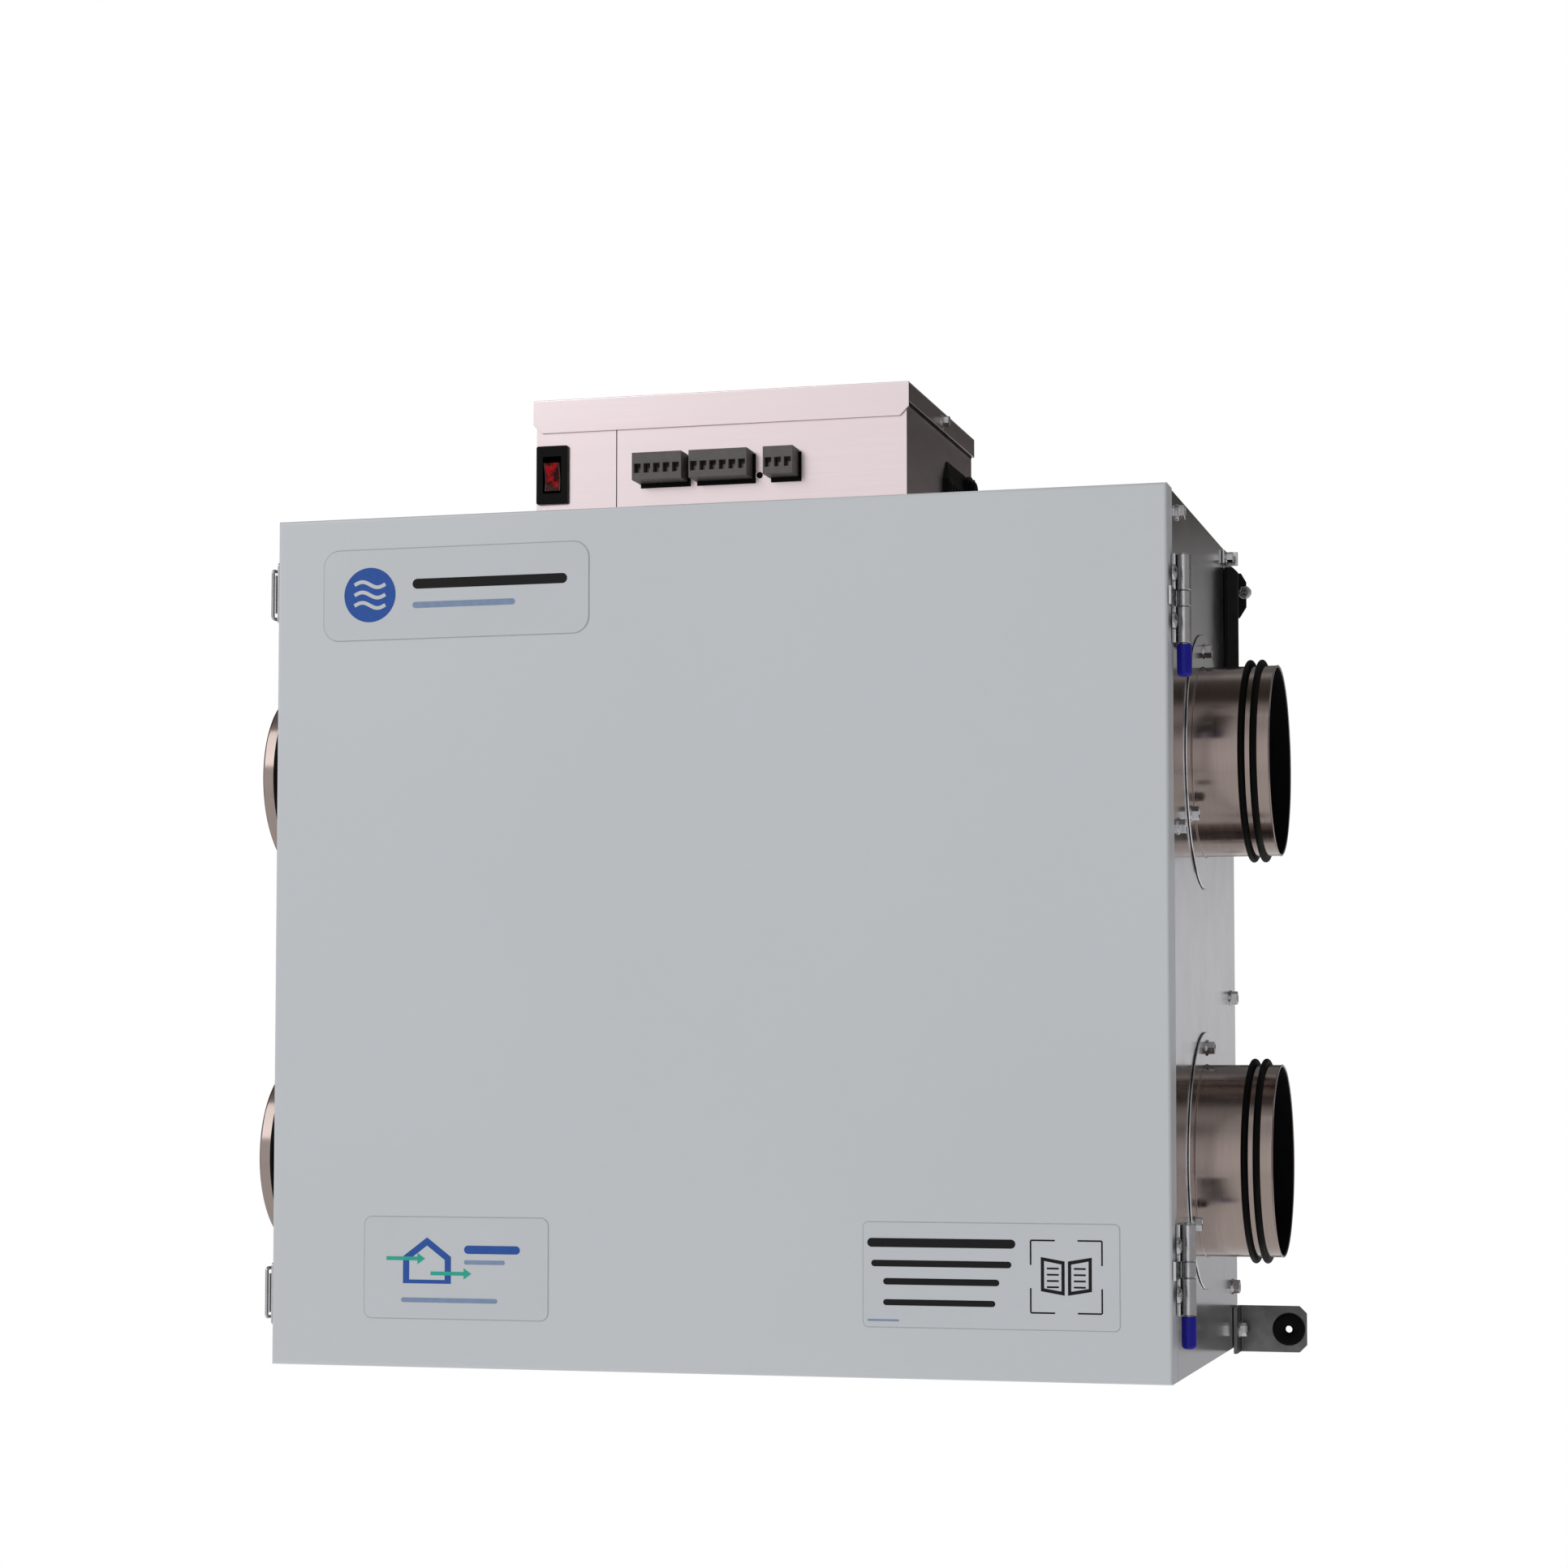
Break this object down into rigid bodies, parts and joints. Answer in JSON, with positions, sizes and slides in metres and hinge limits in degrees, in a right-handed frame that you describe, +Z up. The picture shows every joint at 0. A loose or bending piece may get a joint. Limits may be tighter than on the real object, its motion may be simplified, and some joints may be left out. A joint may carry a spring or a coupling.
{
  "type": "heat recovery ventilator",
  "caption": "Wall-hung heat recovery ventilator: hinged painted door, side duct collars with lip seals, top control box with rocker and plug-in terminals, core, filters and fans.",
  "frame": {"origin": "centre of the back face of the case, where the unit meets the wall", "axes": "+X to the right seen from the front, +Y into the wall, +Z up; the door faces -Y"},
  "size_m": [0.546, 0.246, 0.5],
  "materials": {
    "galvanised": "smooth galvanised sheet, soft mirror reflections",
    "door_paint": "satin light blue-grey powder coat",
    "foam": "expanded polystyrene beads",
    "rubber": "matt black rubber",
    "collar_steel": "spun galvanised steel with fine turning lines",
    "pan_plastic": "textured black plastic",
    "core_plastic": "translucent white fluted plastic",
    "filter_media": "washable non-woven filter mat",
    "fan_steel": "galvanised sheet",
    "fan_plastic": "moulded black plastic",
    "black_steel": "black powder coat",
    "zinc_steel": "bright zinc plate",
    "pin_cap_vinyl": "blue dipped vinyl on a plated pin",
    "bracket_steel": "dark galvanised sheet",
    "box_steel": "bright galvanised sheet",
    "switch_plastic": "black nylon",
    "rocker_red": "translucent red",
    "terminal_plastic": "dark grey polyamide",
    "circuit_board": "green solder mask",
    "transformer_steel": "laminated core and tape-wrapped coil"
  },
  "bodies": {
    "case": {"case_top_panel": "galvanised", "case_bottom_panel": "galvanised", "case_back_panel": "galvanised", "case_left_panel": "galvanised", "case_right_panel": "galvanised", "liner_back": "foam", "liner_top": "foam", "liner_left": "foam", "liner_right": "foam", "collar_seal_lower_left": "rubber", "collar_seal_lower_right": "rubber", "collar_seal_upper_left": "rubber", "collar_seal_upper_right": "rubber", "bracket_grommet_left": "rubber", "bracket_grommet_right": "rubber", "duct_collar_lower_left": "collar_steel", "duct_collar_lower_right": "collar_steel", "duct_collar_upper_left": "collar_steel", "duct_collar_upper_right": "collar_steel", "condensate_pan": "pan_plastic", "heat_exchanger_core": "core_plastic", "filter_left": "filter_media", "filter_right": "filter_media", "fan_plate_left": "fan_steel", "fan_plate_right": "fan_steel", "fan_motor_left": "black_steel", "fan_motor_right": "black_steel", "hanger_strap_left": "black_steel", "hanger_strap_right": "black_steel", "hinge_case_leaf_lower": "zinc_steel", "hinge_case_leaf_upper": "zinc_steel", "latch_base_lower": "zinc_steel", "latch_base_upper": "zinc_steel", "wall_bracket_left": "bracket_steel", "wall_bracket_right": "bracket_steel", "control_box_body": "box_steel", "control_box_lid": "box_steel", "switch_housing": "switch_plastic", "cable_gland": "switch_plastic", "control_board": "circuit_board", "transformer": "transformer_steel"},
    "door": {"door_panel": "door_paint", "door_liner": "foam", "door_seal": "rubber", "hinge_door_leaf_lower": "zinc_steel", "hinge_door_leaf_upper": "zinc_steel", "latch_keeper_lower": "zinc_steel", "latch_keeper_upper": "zinc_steel"},
    "impeller_left": {"fan_impeller_left": "fan_plastic"},
    "impeller_right": {"fan_impeller_right": "fan_plastic"},
    "hinge_pin_lower": {"hinge_pin_lower": "pin_cap_vinyl"},
    "hinge_pin_upper": {"hinge_pin_upper": "pin_cap_vinyl"},
    "latch_lever_lower": {"latch_lever_lower": "zinc_steel"},
    "latch_lever_upper": {"latch_lever_upper": "zinc_steel"},
    "latch_bail_lower": {"latch_bail_lower": "zinc_steel"},
    "latch_bail_upper": {"latch_bail_upper": "zinc_steel"},
    "power_rocker": {"power_rocker": "rocker_red"},
    "terminal_plug_a": {"terminal_plug_a": "terminal_plastic"},
    "terminal_plug_b": {"terminal_plug_b": "terminal_plastic"},
    "terminal_plug_c": {"terminal_plug_c": "terminal_plastic"}
  },
  "joints": [
    {"name": "door_hinge", "type": "hinge", "parent": "case", "child": "door", "pos_m": [0.2386, -0.2276, 0], "axis": [0, 0, 1], "range_deg": [0, 150]},
    {"name": "latch_lever_lower_turn", "type": "hinge", "parent": "case", "child": "latch_lever_lower", "pos_m": [-0.2376, -0.215, -0.182], "axis": [0, 0, 1], "range_deg": [0, 150]},
    {"name": "latch_bail_lower_turn", "type": "hinge", "parent": "latch_lever_lower", "child": "latch_bail_lower", "pos_m": [-0.2362, -0.205, -0.182], "axis": [0, 0, 1], "range_deg": [-150, 0]},
    {"name": "latch_lever_upper_turn", "type": "hinge", "parent": "case", "child": "latch_lever_upper", "pos_m": [-0.2376, -0.215, 0.182], "axis": [0, 0, 1], "range_deg": [0, 150]},
    {"name": "latch_bail_upper_turn", "type": "hinge", "parent": "latch_lever_upper", "child": "latch_bail_upper", "pos_m": [-0.2362, -0.205, 0.182], "axis": [0, 0, 1], "range_deg": [-150, 0]},
    {"name": "hinge_pin_lower_slide", "type": "slide", "parent": "case", "child": "hinge_pin_lower", "axis": [0, 0, -1], "range_m": [0, 0.046]},
    {"name": "hinge_pin_upper_slide", "type": "slide", "parent": "case", "child": "hinge_pin_upper", "axis": [0, 0, -1], "range_m": [0, 0.046]},
    {"name": "power_rocker_tilt", "type": "hinge", "parent": "case", "child": "power_rocker", "pos_m": [-0.088, -0.222, 0.23985], "axis": [1, 0, 0], "range_deg": [-16, 0]},
    {"name": "terminal_plug_a_slide", "type": "slide", "parent": "case", "child": "terminal_plug_a", "axis": [0, -1, 0], "range_m": [0, 0.014]},
    {"name": "terminal_plug_b_slide", "type": "slide", "parent": "case", "child": "terminal_plug_b", "axis": [0, -1, 0], "range_m": [0, 0.014]},
    {"name": "terminal_plug_c_slide", "type": "slide", "parent": "case", "child": "terminal_plug_c", "axis": [0, -1, 0], "range_m": [0, 0.014]},
    {"name": "impeller_left_spin", "type": "hinge", "parent": "case", "child": "impeller_left", "pos_m": [-0.15, -0.1225, -0.1135], "axis": [1, 0, 0], "continuous": true},
    {"name": "impeller_right_spin", "type": "hinge", "parent": "case", "child": "impeller_right", "pos_m": [0.15, -0.1225, -0.1135], "axis": [1, 0, 0], "continuous": true}
  ],
  "couplings": [
    {"joint": "latch_bail_lower_turn", "follows": "latch_lever_lower_turn", "ratio": -1},
    {"joint": "latch_bail_upper_turn", "follows": "latch_lever_upper_turn", "ratio": -1}
  ]
}
